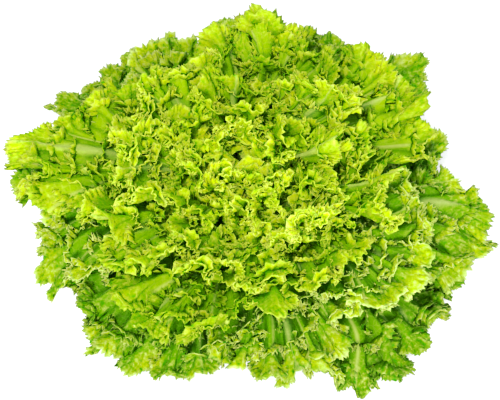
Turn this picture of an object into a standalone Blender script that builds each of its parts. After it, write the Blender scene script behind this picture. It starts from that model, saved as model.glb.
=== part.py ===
# A loose head of lollo bionda lettuce, cut at the stem and resting on its cut
# face, with the widest leaves spread over the surface it stands on.
#
# Every leaf follows a cup of its own. The cups nest inside each other from the
# lowest leaf to the innermost one, so that the leaves lie over each other
# without crossing, as they grew. A leaf is set out flat as a fan of veins, the
# fan is laid in its cup, and its edge is thrown into folds across the cup.

import math

import bmesh
import bpy
import numpy as np

# Driving dimensions, in metres
HEAD_WIDTH = 0.312  # across the widest leaves, along X, before they are pushed about
HEAD_DEPTH = 0.300  # from front to back, along Y
STEM_RADIUS = 0.0145  # of the cut face
STEM_TIP_RADIUS = 0.0035
STEM_HEIGHT = 0.058
STEM_SIDES = 24
BUD_HEIGHT = 0.004  # of the rounded tip above the topmost leaf's foot
RIM = 0.0008  # worn off round the cut face
BLADE = 0.0009  # thickness of a leaf at its edge
PLAY = 0.0006  # gap between a leaf's foot and the stem

# The leaves, from the outside in: name, how many, main folds along the edge
GROUPS = (("outer_leaf", 10, 12), ("middle_leaf", 12, 10), ("inner_leaf", 10, 8))
LEAF_COUNT = sum(count for _, count, _ in GROUPS)
GOLDEN_ANGLE = math.radians(137.508)
FIRST_AZIMUTH = math.radians(-50)

# A leaf's place runs from 0, the outermost, to 1, the innermost. Each pair
# gives the value at those two ends.
FOOT_HEIGHT = (0.007, 0.054)
FOOT_SLOPE = (math.radians(26), math.radians(87))
TIP_SLOPE = (math.radians(-30), math.radians(58))
LENGTH = (0.154, 0.084)
RIB = (0.0036, 0.0013)  # thickness of the midrib where it leaves the stem
FOLD_HEIGHT = (0.0062, 0.0046)  # of the main folds, from the middle to a crest
FOOT_HALF_WIDTH = (0.0090, 0.0020)

FAN = math.radians(96)  # how far the outermost vein turns to the side
SIDE_SHORTER = 0.22  # the side lobes are this much shorter than the middle
WRAP = math.radians(66)  # the most that half a leaf wraps round the heart
RIB_REACH = 0.45  # how far to the side the thick foot of the rib reaches
RIB_THINNING = 1.6  # the rib thins with this power of the way left to the edge

FOLD_START = 2.2  # the folds rise with this power of the way to the edge
FOLD_UNEVEN = 0.25  # how unlike in height the folds are
FOLD_SHIFT = 0.30  # how unevenly they are spaced
LOBE_CUT = 0.040  # depth of the cuts between the teeth, as a share of length
CUT_START = 8  # the cuts rise with this power of the way to the edge
FOLD_SEED = 11
LENGTH_SPREAD = (0.93, 1.05)  # how unlike in length the leaves are

# Leaves whose folds would have run into a neighbour, and how many more times
# theirs were drawn
DRAWN_AGAIN = {
    4: 1, 5: 4, 6: 1, 9: 5, 11: 1, 17: 3, 18: 1, 22: 1, 25: 12, 26: 3,
    27: 4, 28: 4, 29: 22, 30: 3, 31: 4,
}  # fmt: skip

# The leaves that make the outline, by number: length beside the others', turn
# from the spiral in degrees, and where across the leaf (from -1 to 1) one lobe
# is longer by what share
AS_SEEN = {
    0: (0.99, 11, -0.4, 0.14),
    1: (0.954, -7, 0, 0.06),
    2: (0.933, 11, 0, -0.06),
    3: (1.076, -7, -0.25, 0.06),
    4: (0.888, 1, 0.25, 0.12),
    5: (0.909, 7, 0, 0.06),
    6: (1.021, -7, -0.25, 0.18),
    7: (1.041, -1, 0, -0.12),
    8: (1.017, 0, 0, 0),
    9: (0.965, 7, -0.5, 0.1),
    10: (0.98, 0, 0, 0),
    11: (1.093, 11, -0.5, 0.16),
    12: (1.139, 11, 0.25, 0.1),
    13: (0.986, 0, 0, 0),
    14: (1.096, 5, 0, 0),
}
LOBE_WIDTH = 0.16

# How the whole head is pushed about: by how much, and the distance from the
# stem over which that grows. The waves' lengths are in metres for each radian.
TOUSLE = 0.006
TOUSLE_FREE = 0.045
UP_WAVES = (0.019, 0.021)
RIGHT_WAVES = (0.020, 0.017)
BACK_WAVES = (0.018, 0.018)

LEAN = 0.20  # the crown leans to the front by this share of its height
LEAN_HEIGHT = 0.135
FLOOR_SOFTENING = 0.005  # height under which a leaf settles on the surface
FLOOR_GAP = 0.0008  # from the surface to the middle of the lowest blade

# Rows of a leaf from its foot to its edge: the share of the way, and how many
# columns the row has for each main fold
ROWS = (
    (0.00, 0.5),
    (0.18, 0.5),
    (0.36, 1),
    (0.56, 2),
    (0.74, 2),
    (0.88, 2),
    (1.00, 4),
)


def between(ends, place):
    """The value at this place of a pair that holds the outer and inner values."""
    return ends[0] + (ends[1] - ends[0]) * place


class Leaf:
    """One leaf of the spiral, with its cup, its size and its folds."""

    def __init__(self, index, folds):
        random = np.random.default_rng((FOLD_SEED, index))
        usual = (random.uniform(*LENGTH_SPREAD), 0, 0, 0)
        longer, turned, self.lobe_at, self.lobe = AS_SEEN.get(index, usual)
        self.place = index / (LEAF_COUNT - 1)
        self.folds = folds
        self.azimuth = FIRST_AZIMUTH + index * GOLDEN_ANGLE + math.radians(turned)
        self.half_foot = between(FOOT_HALF_WIDTH, self.place)
        self.rib = between(RIB, self.place)
        self.length = between(LENGTH, self.place) * longer
        self.fold_height = between(FOLD_HEIGHT, self.place)
        random = np.random.default_rng((FOLD_SEED, index, DRAWN_AGAIN.get(index, 0)))
        self.shift_phase, self.height_phase, side = random.uniform(0, math.tau, 3)
        self.first_side = 1 if side < math.pi else -1

    def spread_column(self, column):
        """Way across the leaf, from -1 to 1, of an evenly counted column."""
        uneven = np.sin(math.tau * column + self.shift_phase)
        uneven = uneven - math.sin(self.shift_phase)
        return column + FOLD_SHIFT / (3 * math.pi) * uneven * (1 - column**2)

    def vein_point(self, along, across):
        """Flat x and y of a point along a vein. The veins are arcs that fan out."""
        turn = across * FAN
        lobe = self.lobe * np.exp(-(((across - self.lobe_at) / LOBE_WIDTH) ** 2))
        reach = self.length * (1 - SIDE_SHORTER * across**2) * (1 + lobe)
        turned = np.where(np.abs(turn) < 1e-6, 1e-6, turn)
        x = self.half_foot * across
        x = x + reach * (1 - np.cos(turned * along)) / turned
        y = reach * np.sin(turned * along) / turned
        return x, y

    def in_cup(self, x, y, lift):
        """Points of the head at flat x, y, lifted off the cup to its inner side."""
        radius, _, _ = cup_profile(self.place, y)
        side = WRAP * np.tanh(x / radius / WRAP)
        # a cup climbs round the stem as the spiral of the leaves does
        place = self.place + side / GOLDEN_ANGLE / (LEAF_COUNT - 1)
        radius, height, slope = cup_profile(place, y)
        radius = radius - lift * np.sin(slope)
        height = height + lift * np.cos(slope)
        turn = self.azimuth + side
        return np.stack(
            [radius * np.cos(turn), radius * np.sin(turn), height], axis=-1
        )

    def middle_point(self, along, column):
        """Points of the blade's middle surface, folds and all."""
        across = self.spread_column(column)
        fold = np.cos(math.pi * self.folds * (column + 1)) * self.first_side
        uneven = 1 + FOLD_UNEVEN * np.sin(3 * math.pi * column + self.height_phase)
        notch = LOBE_CUT * (1 - fold**2) * along**CUT_START
        x, y = self.vein_point(along * (1 - notch), across)
        lift = self.fold_height * uneven * fold * along**FOLD_START
        return lean(settle(tousle(self.in_cup(x, y, lift))))

    def rib_share(self, along, column):
        """Thickness beside the rib's: thick along the midrib, near the foot."""
        rib = np.exp(-((column / RIB_REACH) ** 2)) * (1 - along) ** RIB_THINNING
        return BLADE / self.rib + (1 - BLADE / self.rib) * rib


def cup_profile(place, y):
    """Radius, height and slope of a cup, at the way y up it from the stem."""
    place = np.clip(place, 0, 1.05)
    foot_slope = between(FOOT_SLOPE, place)
    bend = (foot_slope - between(TIP_SLOPE, place)) / between(LENGTH, place)
    slope = foot_slope - bend * y
    foot_height = between(FOOT_HEIGHT, place)
    foot_radius = (
        between((STEM_RADIUS, STEM_TIP_RADIUS), foot_height / STEM_HEIGHT)
        + PLAY
        + between(RIB, place) / 2 * np.sin(foot_slope)
    )
    radius = foot_radius + (np.sin(foot_slope) - np.sin(slope)) / bend
    height = foot_height + (np.cos(slope) - np.cos(foot_slope)) / bend
    return radius, height, slope


def tousle(points):
    """Pushes the head about. Each step moves points along one axis by what the
    other two say, so that leaves which didn't cross still don't."""
    x, y, z = points[..., 0], points[..., 1], points[..., 2]
    free = np.clip((np.hypot(x, y) - STEM_RADIUS) / TOUSLE_FREE, 0, 1)
    push = TOUSLE * free
    z = z + push * np.sin(x / UP_WAVES[0] + 1.1) * np.sin(y / UP_WAVES[1] + 2.0)
    x = x + push * np.sin(y / RIGHT_WAVES[0] + 0.4) * np.sin(z / RIGHT_WAVES[1])
    y = y + push * np.sin(x / BACK_WAVES[0] + 2.9) * np.sin(z / BACK_WAVES[1] + 1.5)
    return np.stack([x, y, z], axis=-1)


def settle(points):
    """Lays what would sink into the surface on it."""
    z = points[..., 2]
    low = FLOOR_SOFTENING * np.exp((z - FLOOR_SOFTENING) / FLOOR_SOFTENING)
    points[..., 2] = FLOOR_GAP + np.where(z < FLOOR_SOFTENING, low, z)
    return points


def lean(points):
    """Makes the round head an ellipse, and leans its crown to the front."""
    x, y, z = points[..., 0], points[..., 1], points[..., 2]
    y = y * HEAD_DEPTH / HEAD_WIDTH - LEAN * z**2 / LEAN_HEIGHT
    return np.stack([x, y, z], axis=-1)


def material(name, colour, roughness):
    made = bpy.data.materials.new(name)
    made.use_nodes = True
    shader = made.node_tree.nodes["Principled BSDF"]
    shader.inputs["Base Color"].default_value = (*colour, 1)
    shader.inputs["Roughness"].default_value = roughness
    return made


def add_object(name, mesh, finish):
    mesh.materials.append(finish)
    made = bpy.data.objects.new(name, mesh)
    bpy.context.scene.collection.objects.link(made)
    return made


def strip(bm, lower, upper):
    """Triangles between two rows of vertices, the upper one as long or twice as long."""
    step = (len(upper) - 1) // (len(lower) - 1)
    for i in range(len(lower) - 1):
        a, b = lower[i], lower[i + 1]
        c, d = upper[i * step], upper[(i + 1) * step]
        if step == 1:
            # the diagonals mirror each other about the midrib
            if i < (len(lower) - 1) / 2:
                bm.faces.new((a, b, c))
                bm.faces.new((b, d, c))
            else:
                bm.faces.new((a, b, d))
                bm.faces.new((a, d, c))
        else:
            middle = upper[i * step + 1]
            bm.faces.new((a, middle, c))
            bm.faces.new((a, b, middle))
            bm.faces.new((b, d, middle))


def leaf_object(name, leaf, finish):
    """The blade's middle surface, thickened by a Solidify that the rib weights."""
    bm = bmesh.new()
    rows, shares = [], []
    for along, columns_a_fold in ROWS:
        column = np.linspace(-1, 1, int(leaf.folds * columns_a_fold) + 1)
        way = np.full_like(column, along)
        rows.append([bm.verts.new(p) for p in leaf.middle_point(way, column)])
        shares.extend(leaf.rib_share(way, column))
    for lower, upper in zip(rows, rows[1:]):
        strip(bm, lower, upper)
    mesh = bpy.data.meshes.new(name)
    bm.to_mesh(mesh)
    bm.free()
    made = add_object(name, mesh, finish)
    group = made.vertex_groups.new(name="rib")
    for i, share in enumerate(shares):
        group.add([i], float(share), "REPLACE")
    thicken = made.modifiers.new("thickness", "SOLIDIFY")
    thicken.thickness = leaf.rib
    thicken.offset = 0
    thicken.vertex_group = "rib"
    return made


def stem_object(finish):
    """The short stem: a flat cut face with a worn rim, tapering to the bud."""
    profile = [
        (STEM_RADIUS - RIM, 0.0),
        (STEM_RADIUS, RIM),
        (between((STEM_RADIUS, STEM_TIP_RADIUS), 0.5), STEM_HEIGHT / 2),
        (STEM_TIP_RADIUS, STEM_HEIGHT),
        (STEM_TIP_RADIUS / 2, STEM_HEIGHT + BUD_HEIGHT),
    ]
    bm = bmesh.new()
    rings = []
    for radius, height in profile:
        ring = bmesh.ops.create_circle(bm, segments=STEM_SIDES, radius=radius)["verts"]
        bmesh.ops.translate(bm, verts=ring, vec=(0, 0, height))
        rings.append(ring)
    for lower, upper in zip(rings, rings[1:]):
        for i in range(STEM_SIDES):
            j = (i + 1) % STEM_SIDES
            bm.faces.new((lower[i], lower[j], upper[j], upper[i]))
    bm.faces.new(rings[0])
    bm.faces.new(rings[-1])
    for vertex in bm.verts:
        vertex.co = lean(np.array(vertex.co))
    bmesh.ops.recalc_face_normals(bm, faces=bm.faces)
    mesh = bpy.data.meshes.new("stem")
    bm.to_mesh(mesh)
    bm.free()
    return add_object("stem", mesh, finish)


def main():
    for old in list(bpy.data.objects):
        bpy.data.objects.remove(old)
    finishes = {
        "outer_leaf": material("outer_leaf", (0.20, 0.42, 0.02), 0.45),
        "middle_leaf": material("middle_leaf", (0.33, 0.55, 0.03), 0.45),
        "inner_leaf": material("inner_leaf", (0.50, 0.66, 0.06), 0.45),
    }
    stem_object(material("stem", (0.72, 0.78, 0.50), 0.5))
    index = 0
    for group, count, folds in GROUPS:
        for number in range(1, count + 1):
            leaf = Leaf(index, folds)
            leaf_object(f"{group}_{number:02d}", leaf, finishes[group])
            index += 1


main()
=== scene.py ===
"""A head of lollo bionda lettuce: every leaf of the CAD head gets its frilled blade."""

import math

import bmesh
import bpy
import numpy as np
from mathutils import Matrix, Vector


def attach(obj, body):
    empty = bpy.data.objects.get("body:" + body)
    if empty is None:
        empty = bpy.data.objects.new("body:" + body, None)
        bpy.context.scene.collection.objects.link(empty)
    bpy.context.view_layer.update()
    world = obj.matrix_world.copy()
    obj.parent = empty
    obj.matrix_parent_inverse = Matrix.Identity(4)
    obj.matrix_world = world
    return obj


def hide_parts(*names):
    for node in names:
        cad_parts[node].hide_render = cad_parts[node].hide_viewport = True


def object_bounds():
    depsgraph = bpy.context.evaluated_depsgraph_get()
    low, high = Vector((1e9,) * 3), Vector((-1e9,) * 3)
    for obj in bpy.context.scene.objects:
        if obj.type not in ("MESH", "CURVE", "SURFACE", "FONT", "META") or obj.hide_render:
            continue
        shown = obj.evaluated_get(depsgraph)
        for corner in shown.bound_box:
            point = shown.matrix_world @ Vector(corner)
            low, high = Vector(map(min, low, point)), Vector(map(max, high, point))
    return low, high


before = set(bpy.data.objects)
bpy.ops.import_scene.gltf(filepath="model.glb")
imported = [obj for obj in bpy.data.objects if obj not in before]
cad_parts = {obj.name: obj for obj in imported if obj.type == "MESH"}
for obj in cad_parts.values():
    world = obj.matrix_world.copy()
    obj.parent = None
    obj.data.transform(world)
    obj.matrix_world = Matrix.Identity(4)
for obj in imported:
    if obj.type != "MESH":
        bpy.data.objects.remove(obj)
cad_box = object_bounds()

# The camera stands in front of the head and looks down on it steeply, from far
# enough away that the near leaves are hardly larger than the far ones.
camera_height_angle = math.radians(62)
camera_distance = 0.9
camera_target = Vector((0.0062, -0.0081, 0.0407))
camera_data = bpy.data.cameras.new("camera")
camera_data.sensor_width = 36
camera_data.lens = 99.7
camera = bpy.data.objects.new("camera", camera_data)
towards_camera = Vector((0, -math.cos(camera_height_angle), math.sin(camera_height_angle)))
camera.location = camera_target + towards_camera * camera_distance
camera.rotation_euler = towards_camera.to_track_quat("Z", "Y").to_euler()
bpy.context.scene.collection.objects.link(camera)
bpy.context.scene.camera = camera

# The surface is a plain white sweep. It glows a little, so that it stays white
# and shows only the faint soft shadow of the head.
floor_data = bpy.data.meshes.new("floor")
floor_form = bmesh.new()
bmesh.ops.create_grid(floor_form, x_segments=1, y_segments=1, size=3)
floor_form.to_mesh(floor_data)
floor_form.free()
floor = bpy.data.objects.new("floor", floor_data)
floor_finish = bpy.data.materials.new("white_paper")
floor_finish.use_nodes = True
floor_shader = floor_finish.node_tree.nodes["Principled BSDF"]
floor_shader.inputs["Base Color"].default_value = (0.48, 0.48, 0.48, 1)
floor_shader.inputs["Roughness"].default_value = 0.9
floor_shader.inputs["Emission Color"].default_value = (1, 1, 1, 1)
floor_shader.inputs["Emission Strength"].default_value = 0.62
floor_data.materials.append(floor_finish)
bpy.context.scene.collection.objects.link(floor)

# The light is that of a white studio: soft from all round, with a small lamp
# above the head, a little to its left, and a wider one in front of it.
sky = bpy.data.worlds.new("studio")
sky.use_nodes = True
sky.node_tree.nodes["Background"].inputs["Color"].default_value = (0.92, 0.95, 1, 1)
sky.node_tree.nodes["Background"].inputs["Strength"].default_value = 0.92
bpy.context.scene.world = sky


def softbox(name, place, size, watts):
    """A square lamp at this place, turned to the head."""
    lamp = bpy.data.lights.new(name, "AREA")
    lamp.shape = "SQUARE"
    lamp.size = size
    lamp.energy = watts
    lamp.color = (1, 0.98, 0.90)
    made = bpy.data.objects.new(name, lamp)
    made.location = place
    made.rotation_euler = Vector(place).to_track_quat("Z", "Y").to_euler()
    bpy.context.scene.collection.objects.link(made)


softbox("key_lamp", place=(-0.20, -0.50, 1.5), size=0.30, watts=19)
softbox("front_lamp", place=(0.0, -1.4, 1.0), size=0.6, watts=27)

# The picture is developed as a print: lighter in its middle tones, with deeper
# shades that hold less red and blue. Each pair is the light and what is printed.
picture = bpy.context.scene.view_settings
picture.view_transform = "Standard"
picture.use_curve_mapping = True
red_curve, _, blue_curve, tone_curve = picture.curve_mapping.curves
for curve, prints in (
    (tone_curve, ((0.10, 0.093), (0.35, 0.42), (0.85, 0.83))),
    (red_curve, ((0.052, 0.039), (0.18, 0.186), (0.48, 0.495))),
    (blue_curve, ((0.009, 0.004), (0.09, 0.089))),
):
    for light, printed in prints:
        curve.points.new(light, printed)
picture.curve_mapping.update()

# The stem is the plant's short pale axis, cut through just under the lowest
# leaves. It carries all the leaves, and the head rests on its cut face.
STEM_RADIUS = 0.0145
STEM_TIP_RADIUS = 0.0035
STEM_HEIGHT = 0.058
BUD_HEIGHT = 0.004
HEAD_WIDTH = 0.312
HEAD_DEPTH = 0.300
LEAN = 0.20
LEAN_HEIGHT = 0.135


def lean(points):
    """Makes the round head an ellipse, and leans its crown to the front."""
    x, y, z = points[..., 0], points[..., 1], points[..., 2]
    y = y * HEAD_DEPTH / HEAD_WIDTH - LEAN * z**2 / LEAN_HEIGHT
    return np.stack([x, y, z], axis=-1)


def finish_from(name, steps):
    """A material whose nodes are made by the steps, which get the tree and its shader."""
    made = bpy.data.materials.new(name)
    made.use_nodes = True
    steps(made.node_tree, made.node_tree.nodes["Principled BSDF"])
    return made


def node(tree, kind, inputs=(), **settings):
    """A node of this kind. Its inputs are set, or linked where a socket is given."""
    made = tree.nodes.new(kind)
    for key, value in settings.items():
        setattr(made, key, value)
    for key, value in dict(inputs).items():
        if isinstance(value, bpy.types.NodeSocket):
            tree.links.new(value, made.inputs[key])
        else:
            made.inputs[key].default_value = value
    return made


def ramp(tree, factor, stops):
    """A colour ramp with these (position, colour) stops."""
    made = tree.nodes.new("ShaderNodeValToRGB")
    elements = made.color_ramp.elements
    while len(elements) < len(stops):
        elements.new(0.5)
    for element, (position, colour) in zip(elements, stops):
        element.position = position
        element.color = (*colour, 1)
    tree.links.new(factor, made.inputs["Fac"])
    return made.outputs["Color"]


def stem_steps(tree, shader):
    """The nodes of the stem: browned at its cut, pale green above, ringed and mottled."""
    place = node(tree, "ShaderNodeTexCoord").outputs["Object"]
    split = node(tree, "ShaderNodeSeparateXYZ", {"Vector": place})
    grain = node(tree, "ShaderNodeTexNoise", {"Vector": place, "Scale": 260.0, "Detail": 6.0})
    rings = node(
        tree, "ShaderNodeTexWave", {"Vector": place, "Scale": 90.0, "Distortion": 3.0, "Detail": 3.0},
        wave_type="RINGS", rings_direction="Z",
    )
    height = node(
        tree, "ShaderNodeMapRange",
        {"Value": split.outputs["Z"], "From Min": 0.0, "From Max": 0.012},
    )
    skin = ramp(tree, height.outputs["Result"], [
        (0.0, (0.50, 0.36, 0.18)), (0.15, (0.74, 0.72, 0.46)), (1.0, (0.62, 0.74, 0.34)),
    ])
    stained = node(
        tree, "ShaderNodeMixRGB",
        {"Fac": rings.outputs["Fac"], "Color1": skin, "Color2": (0.80, 0.78, 0.58, 1)},
    )
    mottled = node(
        tree, "ShaderNodeMixRGB",
        {"Fac": 0.35, "Color1": stained.outputs["Color"], "Color2": grain.outputs["Color"]},
        blend_type="SOFT_LIGHT",
    )
    tree.links.new(mottled.outputs["Color"], shader.inputs["Base Color"])
    shader.inputs["Roughness"].default_value = 0.42
    relief = node(
        tree, "ShaderNodeBump",
        {"Height": grain.outputs["Fac"], "Strength": 0.4, "Distance": 0.0006},
    )
    tree.links.new(relief.outputs["Normal"], shader.inputs["Normal"])


stem_profile = [
    (0.0, 0.0008),
    (0.0040, 0.0006),
    (0.0100, 0.0001),
    (0.0132, 0.0),
    (0.0142, 0.0003),
    (STEM_RADIUS, 0.0012),
    (0.0141, 0.0060),
    (0.0118, 0.0160),
    (0.0090, 0.0290),
    (0.0060, 0.0440),
    (STEM_TIP_RADIUS, STEM_HEIGHT),
    (0.0020, STEM_HEIGHT + 0.0030),
    (0.0, STEM_HEIGHT + BUD_HEIGHT),
]
stem_form = bmesh.new()
stem_points = [stem_form.verts.new((radius, 0, height)) for radius, height in stem_profile]
for lower, upper in zip(stem_points, stem_points[1:]):
    stem_form.edges.new((lower, upper))
bmesh.ops.spin(
    stem_form, geom=stem_form.verts[:] + stem_form.edges[:], cent=(0, 0, 0), axis=(0, 0, 1),
    angle=math.tau, steps=72, use_merge=True, use_duplicate=False,
)
bmesh.ops.remove_doubles(stem_form, verts=stem_form.verts, dist=1e-6)
bmesh.ops.recalc_face_normals(stem_form, faces=stem_form.faces)
for vertex in stem_form.verts:
    vertex.co = lean(np.array(vertex.co))
stem_data = bpy.data.meshes.new("stem_visual")
stem_form.to_mesh(stem_data)
stem_form.free()
stem_data.shade_smooth()
stem_data.materials.append(finish_from("stem_flesh", stem_steps))
stem = bpy.data.objects.new("stem_visual", stem_data)
bpy.context.scene.collection.objects.link(stem)
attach(stem, "root")
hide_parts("stem")

# The outer leaves are the oldest: the widest, greenest and thickest, spread over
# the surface. Each is a fan of veins on a stout midrib, with a frilled edge, and
# lies in a cup of its own, the next outside the leaf above it.
PLAY = 0.0006
LEAF_COUNT = 32
GOLDEN_ANGLE = math.radians(137.508)
FIRST_AZIMUTH = math.radians(-50)
# Each of these pairs is for the outermost leaf and for the innermost.
FOOT_HEIGHT = (0.007, 0.054)
FOOT_SLOPE = (math.radians(26), math.radians(87))
TIP_SLOPE = (math.radians(-30), math.radians(58))
LENGTH = (0.154, 0.084)
RIB = (0.0036, 0.0013)
FOLD_HEIGHT = (0.0062, 0.0046)
FOOT_HALF_WIDTH = (0.0090, 0.0020)
FAN = math.radians(96)
SIDE_SHORTER = 0.22
WRAP = math.radians(66)
RIB_REACH = 0.45
RIB_THINNING = 1.6
FOLD_START = 2.2
FOLD_UNEVEN = 0.25
FOLD_SHIFT = 0.30
LOBE_CUT = 0.040
CUT_START = 8
FOLD_SEED = 11
LENGTH_SPREAD = (0.93, 1.05)
# How many more times the folds of some leaves were drawn. Another program looked
# for these numbers, with which no solid leaf crosses another.
DRAWN_AGAIN = {
    4: 1, 5: 4, 6: 1, 9: 5, 11: 1, 17: 3, 18: 1, 22: 1, 25: 12, 26: 3,
    27: 4, 28: 4, 29: 22, 30: 3, 31: 4,
}
# What the outline shows of a leaf: its length as a share of the usual one, its
# turn in degrees, where its side lobe is, and by what share that is longer.
# Another program fitted these numbers to the outline.
AS_SEEN = {
    0: (0.99, 11, -0.4, 0.14),
    1: (0.954, -7, 0, 0.06),
    2: (0.933, 11, 0, -0.06),
    3: (1.076, -7, -0.25, 0.06),
    4: (0.888, 1, 0.25, 0.12),
    5: (0.909, 7, 0, 0.06),
    6: (1.021, -7, -0.25, 0.18),
    7: (1.041, -1, 0, -0.12),
    8: (1.017, 0, 0, 0),
    9: (0.965, 7, -0.5, 0.1),
    10: (0.98, 0, 0, 0),
    11: (1.093, 11, -0.5, 0.16),
    12: (1.139, 11, 0.25, 0.1),
    13: (0.986, 0, 0, 0),
    14: (1.096, 5, 0, 0),
}
LOBE_WIDTH = 0.16
# The smaller lobes that it shows: the place across the leaf, the width, and the
# share by which the leaf is longer there. Another program fitted these numbers
# too, and some were changed after that.
LOBES_SEEN = {
    0: ((-0.65, 0.05, 0.109), (-0.35, 0.16, 0.091), (-0.34, 0.08, 0.06), (-0.1, 0.05, 0.042),
        (0.08, 0.05, -0.123), (0.34, 0.16, 0.065)),
    2: ((-0.56, 0.06, 0.04), (-0.07, 0.16, 0.135), (-0.08, 0.05, 0.068), (0.24, 0.05, 0.048),
        (0.33, 0.16, 0.088), (0.34, 0.05, -0.062), (0.43, 0.05, 0.035)),
    3: ((-0.42, 0.05, -0.037), (-0.33, 0.05, 0.041), (-0.19, 0.16, 0.05), (0.0, 0.09, 0.036),
        (0.15, 0.06, -0.1), (0.31, 0.16, -0.222), (0.44, 0.05, -0.036)),
    4: ((-0.26, 0.09, 0.065), (-0.09, 0.08, -0.13)),
    5: ((-0.32, 0.16, 0.02), (-0.23, 0.05, -0.06), (-0.16, 0.05, -0.01), (-0.08, 0.05, -0.05),
        (0.0, 0.05, 0.06), (0.1, 0.16, 0.06)),
    6: ((-0.33, 0.09, 0.05), (-0.17, 0.05, -0.046), (0.2, 0.16, -0.037)),
    7: ((-0.33, 0.05, 0.1), (-0.25, 0.05, -0.044), (0.17, 0.05, 0.05), (0.4, 0.05, 0.163)),
    9: ((-0.11, 0.16, -0.025), (0.04, 0.09, -0.061)),
    11: ((-0.36, 0.16, 0.071),),
    12: ((-0.18, 0.09, 0.055), (-0.01, 0.05, -0.033), (0.09, 0.05, 0.06)),
    14: ((-0.18, 0.16, -0.028),),
}
TIP_LOWER = {5: 0.020}
# The head is pushed about in waves, up, to the right and back.
TOUSLE = 0.006
TOUSLE_FREE = 0.045
UP_WAVES = (0.019, 0.021)
RIGHT_WAVES = (0.020, 0.017)
BACK_WAVES = (0.018, 0.018)
UP_PHASES = (1.1, 2.0)
RIGHT_PHASE = 0.4
BACK_PHASES = (2.9, 1.5)
FLOOR_SOFTENING = 0.005
FLOOR_GAP = 0.0008


def between(ends, place):
    """The value at this place of a pair that holds the outer and inner values."""
    return ends[0] + (ends[1] - ends[0]) * place


def cup_profile(place, y):
    """Radius, height and slope of a leaf's cup, at the way y up it from the stem."""
    place = np.clip(place, 0, 1.05)
    foot_slope = between(FOOT_SLOPE, place)
    bend = (foot_slope - between(TIP_SLOPE, place)) / between(LENGTH, place)
    slope = foot_slope - bend * y
    foot_height = between(FOOT_HEIGHT, place)
    foot_radius = (
        between((STEM_RADIUS, STEM_TIP_RADIUS), foot_height / STEM_HEIGHT)
        + PLAY
        + between(RIB, place) / 2 * np.sin(foot_slope)
    )
    radius = foot_radius + (np.sin(foot_slope) - np.sin(slope)) / bend
    height = foot_height + (np.cos(slope) - np.cos(foot_slope)) / bend
    return radius, height, slope


def tousle(points):
    """Pushes the head about, as the solids are."""
    x, y, z = points[..., 0], points[..., 1], points[..., 2]
    free = np.clip((np.hypot(x, y) - STEM_RADIUS) / TOUSLE_FREE, 0, 1)
    push = TOUSLE * free
    up = np.sin(x / UP_WAVES[0] + UP_PHASES[0]) * np.sin(y / UP_WAVES[1] + UP_PHASES[1])
    z = z + push * up
    right = np.sin(y / RIGHT_WAVES[0] + RIGHT_PHASE) * np.sin(z / RIGHT_WAVES[1])
    x = x + push * right
    back = np.sin(x / BACK_WAVES[0] + BACK_PHASES[0]) * np.sin(z / BACK_WAVES[1] + BACK_PHASES[1])
    y = y + push * back
    return np.stack([x, y, z], axis=-1)


def settle(points):
    """Lays what would sink into the surface on it."""
    z = points[..., 2]
    low = FLOOR_SOFTENING * np.exp((z - FLOOR_SOFTENING) / FLOOR_SOFTENING)
    points[..., 2] = FLOOR_GAP + np.where(z < FLOOR_SOFTENING, low, z)
    return points


# Along the middle of a leaf there is no turn to divide by.
NO_TURN = 1e-6


def folded_blade(index, folds):
    """The solids' blade of this leaf, as a function of the way along and across it."""
    random = np.random.default_rng((FOLD_SEED, index))
    usual = (random.uniform(*LENGTH_SPREAD), 0, 0, 0)
    longer, turned, lobe_at, lobe_share = AS_SEEN.get(index, usual)
    own_place = index / (LEAF_COUNT - 1)
    azimuth = FIRST_AZIMUTH + index * GOLDEN_ANGLE + math.radians(turned)
    length = between(LENGTH, own_place) * longer
    random = np.random.default_rng((FOLD_SEED, index, DRAWN_AGAIN.get(index, 0)))
    shift_phase, height_phase, side_draw = random.uniform(0, math.tau, 3)
    first_side = 1 if side_draw < math.pi else -1

    def blade(along, column):
        uneven = np.sin(math.tau * column + shift_phase) - math.sin(shift_phase)
        across = column + FOLD_SHIFT / (3 * math.pi) * uneven * (1 - column**2)
        fold = np.cos(math.pi * folds * (column + 1)) * first_side
        height = 1 + FOLD_UNEVEN * np.sin(3 * math.pi * column + height_phase)
        lift = between(FOLD_HEIGHT, own_place) * height * fold * along**FOLD_START
        way = along * (1 - LOBE_CUT * (1 - fold**2) * along**CUT_START)
        turn = across * FAN
        turn = np.where(np.abs(turn) < NO_TURN, NO_TURN, turn)
        lobe = lobe_share * np.exp(-(((across - lobe_at) / LOBE_WIDTH) ** 2))
        reach = length * (1 - SIDE_SHORTER * across**2) * (1 + lobe)
        x = between(FOOT_HALF_WIDTH, own_place) * across
        x = x + reach * (1 - np.cos(turn * way)) / turn
        y = reach * np.sin(turn * way) / turn
        radius, _, _ = cup_profile(own_place, y)
        side = WRAP * np.tanh(x / radius / WRAP)
        place = own_place + side / GOLDEN_ANGLE / (LEAF_COUNT - 1)
        radius, height, slope = cup_profile(place, y)
        radius = radius - lift * np.sin(slope)
        height = height + lift * np.cos(slope)
        points = [radius * np.cos(azimuth + side), radius * np.sin(azimuth + side), height]
        return lean(settle(tousle(np.stack(points, axis=-1))))

    return blade


# Where a crest is cut off at a side of its leaf, its normal has no length.
NO_WIDTH = 1e-12


def frame_of(blade, along, column, step):
    """A place on the blade, with the blade's normal there and its way out."""
    middle = blade(along, column)
    out = blade(along + step, column) - middle
    over = blade(along, column + step) - middle
    out = out / np.linalg.norm(out, axis=-1, keepdims=True)
    normal = np.cross(out, over)
    normal = normal / np.maximum(np.linalg.norm(normal, axis=-1, keepdims=True), NO_WIDTH)
    return middle, normal, out


def swaying(waves, phases):
    """The sum of unlike waves, each a height and an angle, which stands for chance."""
    return sum(height * np.sin(angle + phase) for (height, angle), phase in zip(waves, phases))


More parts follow.
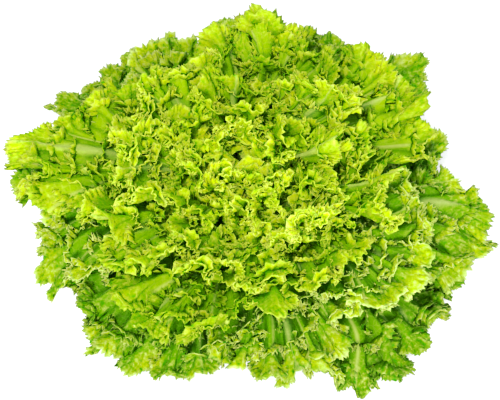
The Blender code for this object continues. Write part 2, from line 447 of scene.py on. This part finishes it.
WAVE_STEP = 0.15
STRAYING = 1.5
STRENGTH = (0.7, 0.3)
ROLL_BACK = 0.5
FULLY_GROWN = 1.02


def ruffled(blade, level, random):
    """The blade with smaller waves across it, which grow and roll over towards its edge."""
    phases = random.uniform(0, math.tau, 8)
    waves = level["waves"]

    def ruffle(along, column):
        stray = swaying((
            (0.8, 5.3 * column),
            (0.6, 11.9 * column),
            (level["slant"], 5 * along + 3.1 * column),
            (0.5, 0.37 * waves * column + 9 * along),
        ), phases)
        phase = math.pi * waves * column + STRAYING * stray
        strong = STRENGTH[0] + STRENGTH[1] * np.sin(waves * 0.47 * column + stray + phases[4])
        roll = np.sin(waves * 0.29 * column - stray + phases[5])
        rise = (along - level["from"]) / (1 - level["from"])
        grown = strong * np.clip(rise, 0, FULLY_GROWN) ** level["power"]
        middle, normal, out = frame_of(blade, along, column, WAVE_STEP / waves)
        over = np.cross(normal, out)
        lift = level["height"] * grown * np.sin(phase)
        swing = -level["swing"] * grown * np.sin(2 * phase)
        back = level["back"] * grown * (np.sin(phase) * roll - ROLL_BACK * np.sin(phase) ** 2)
        return middle + lift[..., None] * normal + swing[..., None] * over + back[..., None] * out

    return ruffle


PAST_EDGE = 1.1


def lobed_as_seen(blade, lobes, tip_lower):
    """The blade with lobes of this place, width and change of length, and its edge this much lower."""

    def reach(along, column):
        towards_edge = np.clip(along, 0, PAST_EDGE) ** 3
        change = np.zeros_like(column)
        for middle, width, longer in lobes:
            change = change + longer * np.exp(-(((column - middle) / width) ** 2))
        points = blade(along * (1 + change * towards_edge), column)
        if tip_lower:
            points[..., 2] -= tip_lower * towards_edge
            points = settle(points)
        return points

    return reach


def billowed(blade, raised, heaved, swell, waves, random):
    """The blade raised towards its edge, and heaved up and down and in and out in long waves."""
    phases = random.uniform(0, math.tau, 4)

    def billow(along, column):
        points = blade(along, column)
        grown = np.clip(along, 0, 1) ** 2
        up = math.pi * waves * column + 5 * along + 1.5 * np.sin(3.7 * column + phases[0])
        in_out = 0.7 * math.pi * waves * column - 7 * along + 1.5 * np.sin(5.1 * column + phases[1])
        points[..., 2] += grown * (raised + heaved * np.sin(up + phases[2]))
        points[..., :2] *= 1 + (swell * grown * np.sin(in_out + phases[3]))[..., None]
        return points

    return billow


def gathered(blade, share):
    """The blade with its upper part drawn in by this share of its way from the head's middle."""

    def gather(along, column):
        points = blade(along, column)
        drawn = 1 - share * np.clip(along, 0, 1) ** 2
        middle = -LEAN * points[..., 2] ** 2 / LEAN_HEIGHT
        points[..., 0] *= drawn
        points[..., 1] = middle + (points[..., 1] - middle) * drawn
        return points

    return gather


NOTCH_SHARPNESS = 1.5


def notched(blade, depth, notches, random):
    """The blade with its edge drawn in here and there."""
    phases = random.uniform(0, math.tau, 2)

    def notch(along, column):
        stray = 1.2 * np.sin(4.3 * column + phases[0])
        wave = np.sin(math.pi * notches * column + stray + phases[1])
        cut = (0.5 + 0.5 * wave) ** NOTCH_SHARPNESS
        return blade(along * (1 - depth * cut * np.clip(along, 0, 1) ** 3), column)

    return notch


EDGE_CURL = 1.6
SMOOTH_STEP = 0.004


def turned_up(blade, start, height, shorter, random):
    """The blade with its edge turned up from this way along, more in some places than in others."""
    phases = random.uniform(0, math.tau, 3)

    def turn(along, column):
        much = 0.80 + 0.30 * np.sin(4.1 * column + phases[0]) * np.sin(9.7 * column + phases[1])
        much = much + 0.2 * np.sin(21 * column + phases[2])
        past = np.clip((along - start) / (1 - start), 0, PAST_EDGE)
        base = along - (1 - start) * shorter * much * past**2
        middle, normal, _ = frame_of(blade, base, column, SMOOTH_STEP)
        return middle + (height * much * past**EDGE_CURL)[..., None] * normal

    return turn


# More folds of the frill stand on the blade as crests. They are dealt over it as
# seeds are in a head, a little off their places and drawn into clusters, and
# each follows a bent line that heads its own way and leans towards the edge.
CREST_SPREAD = 0.88
CREST_DEAL = 0.382
CREST_STRAY = 0.2
CREST_PLACES = (0.1, 0.9)
CLUSTER_SLANT = 0.8
CLUSTER_PULL = 0.13
CREST_HEADINGS = (0.22, 0.78)
CREST_BEND = 0.2
CREST_HEIGHTS = (0.75, 1.15)
CREST_END_HEIGHT = 0.06
CREST_UNEVEN = 0.25
CREST_ROOT = 0.0012
CREST_LEAN = 0.65
CREST_WAYS = (0.2, 0.95)
CREST_SIDE = 0.97
CREST_SHIFT = 3.7


def crests(blade, root, number, frills, random):
    """Folds of the frill that stand on the blade, each along a short line of its own.

    The number says on which of them each point is.
    """
    amount = number.max()
    draws = random.uniform(0, 1, (amount + 1, 6))[number].T
    dealt = (CREST_DEAL * number + CREST_STRAY * draws[0]) % 1
    middle_along = between(frills["crest_zone"], dealt)
    middle_column = number - 1 + between(CREST_PLACES, draws[1])
    middle_column = CREST_SPREAD * (2 * middle_column / amount - 1)
    packed = math.tau * (middle_column + CLUSTER_SLANT * middle_along) / frills["cluster"]
    pull = np.sin(packed + random.uniform(0, math.tau))
    middle_column = middle_column + CLUSTER_PULL * frills["cluster"] * pull
    heading = math.pi * between(CREST_HEADINGS, draws[2])
    up_line = frills["crest_half_length"] * np.cos(heading)
    over_line = frills["crest_half_length"] * np.sin(heading)
    tallest = frills["crest_height"] * between(CREST_HEIGHTS, draws[3])

    def stand(up, shifted):
        way = shifted - CREST_SHIFT * number
        bend = CREST_BEND * np.sin(2.2 * way + math.tau * draws[4])
        along = middle_along + up_line * way + bend * over_line
        column = middle_column + (over_line * way - bend * up_line) / middle_along
        along = np.clip(along, *CREST_WAYS)
        column = np.clip(column, -CREST_SIDE, CREST_SIDE)
        tall = tallest * between((CREST_END_HEIGHT, 1), np.sqrt(np.clip(1 - way**4, 0, 1)))
        tall = tall * (1 + CREST_UNEVEN * np.sin(3.1 * way + math.tau * draws[5]))
        _, normal, out = frame_of(blade, along, column, SMOOTH_STEP)
        rise = (tall * up - CREST_ROOT)[..., None]
        lean_out = CREST_LEAN * (tall * up**2)[..., None]
        return root(along, column) + rise * normal + lean_out * out

    return stand, middle_column


ROW_PLAY = 0.001


def blade_grid(name, frills):
    """A flat grid, -1 to 1 across and 0 to 1 along, with more columns near the edge.

    The grids of the crests lie over it at heights 1, 2 and so on.
    """
    rows = frills["rows"]
    grid = bmesh.new()
    bmesh.ops.create_grid(grid, x_segments=frills["columns"], y_segments=len(rows) - 1, size=1)
    for vertex in grid.verts:
        vertex.co.y = rows[round((vertex.co.y + 1) / 2 * (len(rows) - 1))]
    for start in frills["doubled_from"]:
        crosswise = [
            edge for edge in grid.edges
            if edge.verts[0].co.y == edge.verts[1].co.y > start - ROW_PLAY
        ]
        bmesh.ops.subdivide_edges(grid, edges=crosswise, cuts=1)
    from_0_to_1_along = Matrix.Diagonal((1, 0.5, 1, 1)) @ Matrix.Translation((0, 1, 0))
    for number in range(1, frills["crests"] + 1):
        bmesh.ops.create_grid(
            grid, x_segments=frills["crest_columns"], y_segments=1, size=1,
            matrix=Matrix.Translation((0, 0, number)) @ from_0_to_1_along,
        )
    data = bpy.data.meshes.new(name)
    grid.to_mesh(data)
    grid.free()
    return data


# The blade's thickness at its edge, and how its teeth, crumpled skin and colours
# are spread. A crest has the colours of the blade's last part.
BLADE = 0.0005
FRILL_SEED = 5
TOOTH_SIZES = (0.2, 1.0)
TOOTH_STRAY = 0.5
EDGE_ONLY = 70
CREST_TOP_ONLY = 8
CREST_CRISPNESS = 0.3
CREST_COLOURS_FROM = 0.86
CREST_COLOURS_WIDTH = 0.1
SIDEWAYS_CRUMPLE = 0.5
TINT_BY_AGE = 0.7


def leaf_surfaces(index, youth, frills, random):
    """The leaf's blade, then the same with its lobes, and then with all its waves."""
    plain = folded_blade(index, frills["folds"])
    plain = lobed_as_seen(plain, LOBES_SEEN.get(index, ()), TIP_LOWER.get(index, 0))
    smooth = billowed(plain, random=random, **frills["billows"])
    smooth = gathered(smooth, frills["gather"] * youth**3)
    for depth, notches in frills["notches"]:
        smooth = notched(smooth, depth, notches, random)
    lobed = turned_up(smooth, random=random, **frills["turn"])
    lobed = ruffled(lobed, frills["lobes"], random)
    return smooth, lobed, ruffled(lobed, frills["ruffles"], random)


def frilled_mesh(name, index, grid, frills):
    """The grid laid on the leaf's surfaces, with the way along and across of each vertex."""
    random = np.random.default_rng((FRILL_SEED, index))
    leaves = frills["leaves"]
    youth = (index - leaves[0]) / (leaves[-1] - leaves[0])
    smooth, lobed, surface = leaf_surfaces(index, youth, frills, random)
    data = grid.copy()
    data.name = name
    count = len(data.vertices)
    flat = np.empty(count * 3, np.float32)
    data.vertices.foreach_get("co", flat)
    flat = flat.reshape(-1, 3).astype(float)
    column, along = flat[:, 0], flat[:, 1]
    layer = flat[:, 2].round()
    main = layer == 0
    edge_columns = frills["columns"] * 2 ** len(frills["doubled_from"])
    beside = np.where(main, edge_columns, frills["crest_columns"]) * (column + 1) / 2
    zigzag = 1 - 2 * (beside.round() % 2)
    zigzag = zigzag * random.uniform(*TOOTH_SIZES, count)
    zigzag = zigzag + random.uniform(-TOOTH_STRAY, TOOTH_STRAY, count)
    reach = along + zigzag * frills["tooth"] * along**EDGE_ONLY
    crisp = np.clip((along - frills["crisp_from"]) / (1 - frills["crisp_from"]), 0, 1) ** 0.5
    points = np.empty((count, 3))
    points[main] = surface(reach[main], column[main])
    standing = ~main
    number = layer[standing].astype(int)
    stand, middle_column = crests(smooth, lobed, number, frills, random)
    for level in frills["crest_levels"]:
        stand = ruffled(stand, level, random)
    up = along[standing]
    toothed_up = up + zigzag[standing] * frills["crest_tooth"] * up**CREST_TOP_ONLY
    points[standing] = stand(toothed_up, column[standing] + CREST_SHIFT * number)
    crisp[standing] = np.clip(CREST_CRISPNESS + up, 0, 1)
    column[standing] = middle_column + CREST_COLOURS_WIDTH * column[standing]
    along[standing] = between((CREST_COLOURS_FROM, 1), up)
    data.vertices.foreach_set("co", points.astype(np.float32).ravel())
    data.update()
    outwards = np.empty(count * 3, np.float32)
    data.vertex_normals.foreach_get("vector", outwards)
    bump = random.uniform(-1, 1, count)
    deep = (frills["crumple"] * crisp)[:, None]
    points = points + deep * bump[:, None] * outwards.reshape(-1, 3)
    points = points + SIDEWAYS_CRUMPLE * deep * random.uniform(-1, 1, (count, 3))
    points = np.clip(points, np.array(cad_box[0]) + BLADE, np.array(cad_box[1]) - BLADE)
    data.vertices.foreach_set("co", points.astype(np.float32).ravel())
    # The crinkle height is kept for the finish, which colours the raised crinkles with a painted
    # highlight and the sunk ones with a painted shade.
    crinkle = data.attributes.new("crinkle", "FLOAT", "POINT")
    crinkle.data.foreach_set("value", (bump * crisp).astype(np.float32))
    corner = np.empty(len(data.loops), np.int32)
    data.loops.foreach_get("vertex_index", corner)
    blade_map = data.uv_layers.new(name="blade")
    spots = np.stack([(column[corner] + 1) / 2, along[corner]], axis=-1)
    blade_map.data.foreach_set("uv", spots.astype(np.float32).ravel())
    tint = data.attributes.new("tint", "FLOAT", "POINT")
    own_tint = TINT_BY_AGE * youth + (1 - TINT_BY_AGE) * random.uniform(0, 1)
    tint.data.foreach_set("value", np.full(count, own_tint, np.float32))
    data.shade_smooth()
    return data, along, column


def dressed_leaf(solid, index, grid, frills, finish):
    """One leaf in place of its solid: the frilled mesh, with its thickness and finish."""
    name = f"{solid}_visual"
    data, along, column = frilled_mesh(name, index, grid, frills)
    data.materials.append(finish)
    leaf = bpy.data.objects.new(name, data)
    bpy.context.scene.collection.objects.link(leaf)
    rib = between(RIB, index / (LEAF_COUNT - 1))
    group = leaf.vertex_groups.new(name="rib")
    ribbed = np.exp(-((column / RIB_REACH) ** 2)) * (1 - along) ** RIB_THINNING
    for vertex, share in enumerate(between((BLADE / rib, 1), ribbed)):
        group.add([vertex], float(share), "REPLACE")
    thicken = leaf.modifiers.new("thickness", "SOLIDIFY")
    thicken.thickness = rib
    thicken.offset = 0
    thicken.vertex_group = "rib"
    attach(leaf, "root")
    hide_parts(solid)


# A leaf's colour runs from its foot to its edge, where it ends in a painted
# highlight. Its raised net of veins and the light that comes through are the
# same on all, and so are the painted highlight on the crumpled skin of its
# frill where it rises and the painted shade where it sinks.
AGE_BY_TINT = -0.25
SIDE_VEINS = 14
VEIN_STRENGTH = 0.55
MIDRIB = (0.74, 0.78, 0.42)
FOLD_IN_CRINKLE = 0.16
LET_THROUGH = 0.40


def leaf_steps(foot, blade, frill, edge, hollow_shade, through):
    """The nodes of a leaf that is coloured from its foot to its edge."""

    def steps(tree, shader):
        place = node(tree, "ShaderNodeTexCoord").outputs["Object"]
        blade_uv = node(tree, "ShaderNodeUVMap", uv_map="blade").outputs["UV"]
        split = node(tree, "ShaderNodeSeparateXYZ", {"Vector": blade_uv})
        across, along = split.outputs["X"], split.outputs["Y"]
        # The palest colour, at the very edge, is a painted highlight where light catches the thin
        # margin.
        body = ramp(tree, along, [
            (0.0, foot), (0.30, foot), (0.55, blade), (0.87, blade), (0.955, frill),
            (0.982, frill), (0.995, edge),
        ])
        cloud = node(tree, "ShaderNodeTexNoise", {"Vector": place, "Scale": 55.0, "Detail": 4.0})
        tint = node(tree, "ShaderNodeAttribute", attribute_name="tint").outputs["Fac"]
        age = node(
            tree, "ShaderNodeMath", {0: tint, 1: AGE_BY_TINT, 2: cloud.outputs["Fac"]},
            operation="MULTIPLY_ADD",
        )
        greener = node(
            tree, "ShaderNodeMapRange",
            {"Value": age.outputs["Value"], "From Min": 0.29, "From Max": 0.47, "To Max": 0.85},
        )
        aged = node(
            tree, "ShaderNodeMixRGB",
            {"Fac": greener.outputs["Result"], "Color1": body, "Color2": (*blade, 1)},
        )
        shade = node(
            tree, "ShaderNodeMath", {0: cloud.outputs["Fac"], 1: tint}, operation="ADD",
        )
        brightness = node(
            tree, "ShaderNodeMapRange",
            {"Value": shade.outputs["Value"], "From Min": 0.3, "From Max": 1.7,
             "To Min": 0.82, "To Max": 1.16},
        )
        varied = node(
            tree, "ShaderNodeHueSaturation",
            {"Color": aged.outputs["Color"], "Value": brightness.outputs["Result"]},
        )
        veins = node(tree, "ShaderNodeMath", {0: across, 1: SIDE_VEINS}, operation="MULTIPLY")
        near = node(tree, "ShaderNodeMath", {0: veins.outputs["Value"], 1: 1.0}, operation="PINGPONG")
        width = node(
            tree, "ShaderNodeMapRange",
            {"Value": along, "From Min": 0.05, "From Max": 1.0, "To Min": 0.35, "To Max": 0.03},
        )
        vein = node(
            tree, "ShaderNodeMapRange",
            {"Value": near.outputs["Value"], "From Min": 0.0, "From Max": width.outputs["Result"],
             "To Min": 1.0, "To Max": 0.0},
            interpolation_type="SMOOTHSTEP",
        )
        net = node(
            tree, "ShaderNodeTexVoronoi", {"Vector": place, "Scale": 210.0},
            feature="DISTANCE_TO_EDGE",
        )
        net_line = node(
            tree, "ShaderNodeMapRange",
            {"Value": net.outputs["Distance"], "From Min": 0.0, "From Max": 0.09,
             "To Min": 0.25, "To Max": 0.0},
        )
        line = node(
            tree, "ShaderNodeMath",
            {0: vein.outputs["Result"], 1: net_line.outputs["Result"]}, operation="MAXIMUM",
        )
        pale = node(
            tree, "ShaderNodeMath", {0: line.outputs["Value"], 1: VEIN_STRENGTH},
            operation="MULTIPLY",
        )
        veined = node(
            tree, "ShaderNodeMixRGB",
            {"Fac": pale.outputs["Value"], "Color1": varied.outputs["Color"], "Color2": (*foot, 1)},
        )
        off_middle = node(tree, "ShaderNodeMath", {0: across, 1: 0.5}, operation="SUBTRACT")
        from_middle = node(
            tree, "ShaderNodeMath", {0: off_middle.outputs["Value"]}, operation="ABSOLUTE",
        )
        rib_width = node(
            tree, "ShaderNodeMapRange",
            {"Value": along, "From Min": 0.2, "From Max": 0.88, "To Min": 0.13, "To Max": 0.002},
        )
        rib = node(
            tree, "ShaderNodeMapRange",
            {"Value": from_middle.outputs["Value"], "From Min": 0.0,
             "From Max": rib_width.outputs["Result"], "To Min": 0.35, "To Max": 0.0},
            interpolation_type="SMOOTHSTEP",
        )
        ribbed = node(
            tree, "ShaderNodeMixRGB",
            {"Fac": rib.outputs["Result"], "Color1": veined.outputs["Color"],
             "Color2": (*MIDRIB, 1)},
        )
        crinkle = node(tree, "ShaderNodeTexNoise", {"Vector": place, "Scale": 420.0, "Detail": 5.0})
        frilled = node(
            tree, "ShaderNodeMapRange",
            {"Value": along, "From Min": 0.75, "From Max": 0.92, "To Min": 0.0, "To Max": 1.0},
            interpolation_type="SMOOTHSTEP",
        )
        fold = node(tree, "ShaderNodeAttribute", attribute_name="crinkle").outputs["Fac"]
        relief_height = node(
            tree, "ShaderNodeMath", {0: fold, 1: FOLD_IN_CRINKLE, 2: crinkle.outputs["Fac"]},
            operation="MULTIPLY_ADD",
        )
        # Where the crinkles rise, the edge colour is mixed in as a painted highlight.
        raised = node(
            tree, "ShaderNodeMapRange",
            {"Value": relief_height.outputs["Value"], "From Min": 0.52, "From Max": 0.80},
        )
        # Where the crinkles sink, the hollow colour is mixed in as a painted shade.
        sunk = node(
            tree, "ShaderNodeMapRange",
            {"Value": relief_height.outputs["Value"], "From Min": 0.48, "From Max": 0.20},
        )
        high = node(
            tree, "ShaderNodeMath", {0: raised.outputs["Result"], 1: frilled.outputs["Result"]},
            operation="MULTIPLY",
        )
        low = node(
            tree, "ShaderNodeMath", {0: sunk.outputs["Result"], 1: frilled.outputs["Result"]},
            operation="MULTIPLY",
        )
        lit = node(
            tree, "ShaderNodeMixRGB",
            {"Fac": high.outputs["Value"], "Color1": ribbed.outputs["Color"], "Color2": (*edge, 1)},
        )
        finished = node(
            tree, "ShaderNodeMixRGB",
            {"Fac": low.outputs["Value"], "Color1": lit.outputs["Color"], "Color2": (*hollow_shade, 1)},
        )
        tree.links.new(finished.outputs["Color"], shader.inputs["Base Color"])
        shader.inputs["Roughness"].default_value = 0.45
        shader.inputs["Specular IOR Level"].default_value = 0.05
        relief = node(
            tree, "ShaderNodeBump",
            {"Height": crinkle.outputs["Fac"], "Strength": 0.6, "Distance": 0.0010},
        )
        tree.links.new(relief.outputs["Normal"], shader.inputs["Normal"])
        glow = node(
            tree, "ShaderNodeMixRGB",
            {"Fac": 1.0, "Color1": finished.outputs["Color"], "Color2": (*through, 1)},
            blend_type="MULTIPLY",
        )
        let_through = node(
            tree, "ShaderNodeBsdfTranslucent",
            {"Color": glow.outputs["Color"], "Normal": relief.outputs["Normal"]},
        )
        mixed = node(
            tree, "ShaderNodeMixShader",
            {0: LET_THROUGH, 1: shader.outputs["BSDF"], 2: let_through.outputs["BSDF"]},
        )
        output = tree.nodes["Material Output"]
        tree.links.new(mixed.outputs["Shader"], output.inputs["Surface"])

    return steps


# In each leaf finish, the edge colour is also a painted highlight and the hollow colour is a painted
# shade.
outer_finish = finish_from("outer_leaf_blade", leaf_steps(
    foot=(0.60, 0.70, 0.24), blade=(0.17, 0.37, 0.0), frill=(0.45, 0.60, 0.003),
    edge=(0.64, 0.75, 0.24), hollow_shade=(0.05, 0.28, 0.0), through=(0.72, 1.15, 0.03),
))
outer_frills = {
    "leaves": range(0, 10),
    "folds": 12,
    "columns": 24,
    "doubled_from": (0.22, 0.48, 0.70, 0.86, 0.94),
    "rows": [*np.linspace(0, 0.60, 8), *np.linspace(0.66, 0.84, 5), 0.87, 0.90, 0.93, 0.95, 0.975, 1],
    "billows": {"raised": 0.003, "heaved": 0.003, "swell": 0.03, "waves": 5.0},
    "gather": 0,
    "notches": ((0.08, 6), (0.04, 15)),
    "turn": {"start": 0.84, "height": 0.008, "shorter": 0.04},
    "lobes": {"waves": 34, "height": 0.0034, "swing": 0.0012, "back": 0.002, "from": 0.74,
              "power": 1.2, "slant": 1.0},
    "ruffles": {"waves": 130, "height": 0.0015, "swing": 0.0005, "back": 0.0006, "from": 0.93,
                "power": 0.8, "slant": 1.6},
    "tooth": 0.008,
    "crumple": 0.0006,
    "crisp_from": 0.80,
    "crests": 28,
    "crest_columns": 72,
    "crest_zone": (0.50, 0.95),
    "cluster": 0.30,
    "crest_half_length": 0.11,
    "crest_height": 0.008,
    "crest_tooth": 0.12,
    "crest_levels": (
        {"waves": 2.2, "height": 0.0040, "swing": 0.0010, "back": 0.001, "from": 0, "power": 0.8,
         "slant": 0.6},
        {"waves": 15, "height": 0.0012, "swing": 0.0004, "back": 0.0006, "from": 0.1, "power": 0.8,
         "slant": 0.6},
    ),
}
outer_grid = blade_grid("outer_grid", outer_frills)
for number, index in enumerate(outer_frills["leaves"], 1):
    dressed_leaf(
        f"outer_leaf_{number:02d}", index, outer_grid, outer_frills, outer_finish,
    )
bpy.data.meshes.remove(outer_grid)

# The middle leaves stand between the spread ones and the heart, half upright,
# lighter and with a closer frill.
# Here too the edge colour is a painted highlight and the hollow colour a painted shade.
middle_finish = finish_from("middle_leaf_blade", leaf_steps(
    foot=(0.68, 0.76, 0.26), blade=(0.30, 0.54, 0.0), frill=(0.61, 0.74, 0.003),
    edge=(0.65, 0.74, 0.12), hollow_shade=(0.12, 0.43, 0.0), through=(0.72, 1.15, 0.03),
))
middle_frills = {
    "leaves": range(10, 22),
    "folds": 10,
    "columns": 20,
    "doubled_from": (0.20, 0.42, 0.64, 0.83, 0.93),
    "rows": [*np.linspace(0, 0.56, 7), *np.linspace(0.62, 0.82, 5), 0.85, 0.88, 0.91, 0.94, 0.97, 1],
    "billows": {"raised": 0.0, "heaved": 0.006, "swell": 0.045, "waves": 4.2},
    "gather": 0,
    "notches": ((0.14, 5), (0.05, 12)),
    "turn": {"start": 0.80, "height": 0.009, "shorter": 0.06},
    "lobes": {"waves": 27, "height": 0.0036, "swing": 0.0014, "back": 0.002, "from": 0.62,
              "power": 1.1, "slant": 1.0},
    "ruffles": {"waves": 155, "height": 0.0013, "swing": 0.0004, "back": 0.0006, "from": 0.82,
                "power": 0.8, "slant": 1.6},
    "tooth": 0.010,
    "crumple": 0.0006,
    "crisp_from": 0.75,
    "crests": 24,
    "crest_columns": 72,
    "crest_zone": (0.48, 0.94),
    "cluster": 0.36,
    "crest_half_length": 0.13,
    "crest_height": 0.008,
    "crest_tooth": 0.12,
    "crest_levels": outer_frills["crest_levels"],
}
middle_grid = blade_grid("middle_grid", middle_frills)
for number, index in enumerate(middle_frills["leaves"], 1):
    dressed_leaf(
        f"middle_leaf_{number:02d}", index, middle_grid, middle_frills, middle_finish,
    )
bpy.data.meshes.remove(middle_grid)

# The inner leaves are the youngest, close round the bud: short, upright, thin
# and yellow-green, with the finest frill of all.
# Here too the edge colour is a painted highlight and the hollow colour a painted shade.
inner_finish = finish_from("inner_leaf_blade", leaf_steps(
    foot=(0.72, 0.78, 0.26), blade=(0.36, 0.60, 0.0), frill=(0.68, 0.78, 0.004),
    edge=(0.67, 0.75, 0.12), hollow_shade=(0.14, 0.47, 0.0), through=(0.72, 1.15, 0.03),
))
inner_frills = {
    "leaves": range(22, 32),
    "folds": 8,
    "columns": 16,
    "doubled_from": (0.20, 0.38, 0.53, 0.77, 0.91),
    "rows": [*np.linspace(0, 0.48, 5), *np.linspace(0.55, 0.76, 5), 0.80, 0.84, 0.88, 0.92, 0.96, 1],
    "billows": {"raised": -0.002, "heaved": 0.005, "swell": 0.06, "waves": 3.4},
    "gather": 0.22,
    "notches": ((0.14, 4), (0.06, 9)),
    "turn": {"start": 0.72, "height": 0.008, "shorter": 0.06},
    "lobes": {"waves": 19, "height": 0.0036, "swing": 0.0014, "back": 0.002, "from": 0.50,
              "power": 1.1, "slant": 1.0},
    "ruffles": {"waves": 110, "height": 0.0013, "swing": 0.0004, "back": 0.0006, "from": 0.75,
                "power": 0.8, "slant": 1.6},
    "tooth": 0.013,
    "crumple": 0.0006,
    "crisp_from": 0.65,
    "crests": 13,
    "crest_columns": 64,
    "crest_zone": (0.50, 0.90),
    "cluster": 0.50,
    "crest_half_length": 0.14,
    "crest_height": 0.007,
    "crest_tooth": 0.12,
    "crest_levels": (
        {"waves": 2.0, "height": 0.0036, "swing": 0.0010, "back": 0.001, "from": 0, "power": 0.8,
         "slant": 0.6},
        {"waves": 13, "height": 0.0012, "swing": 0.0004, "back": 0.0006, "from": 0.1, "power": 0.8,
         "slant": 0.6},
    ),
}
inner_grid = blade_grid("inner_grid", inner_frills)
for number, index in enumerate(inner_frills["leaves"], 1):
    dressed_leaf(
        f"inner_leaf_{number:02d}", index, inner_grid, inner_frills, inner_finish,
    )
bpy.data.meshes.remove(inner_grid)
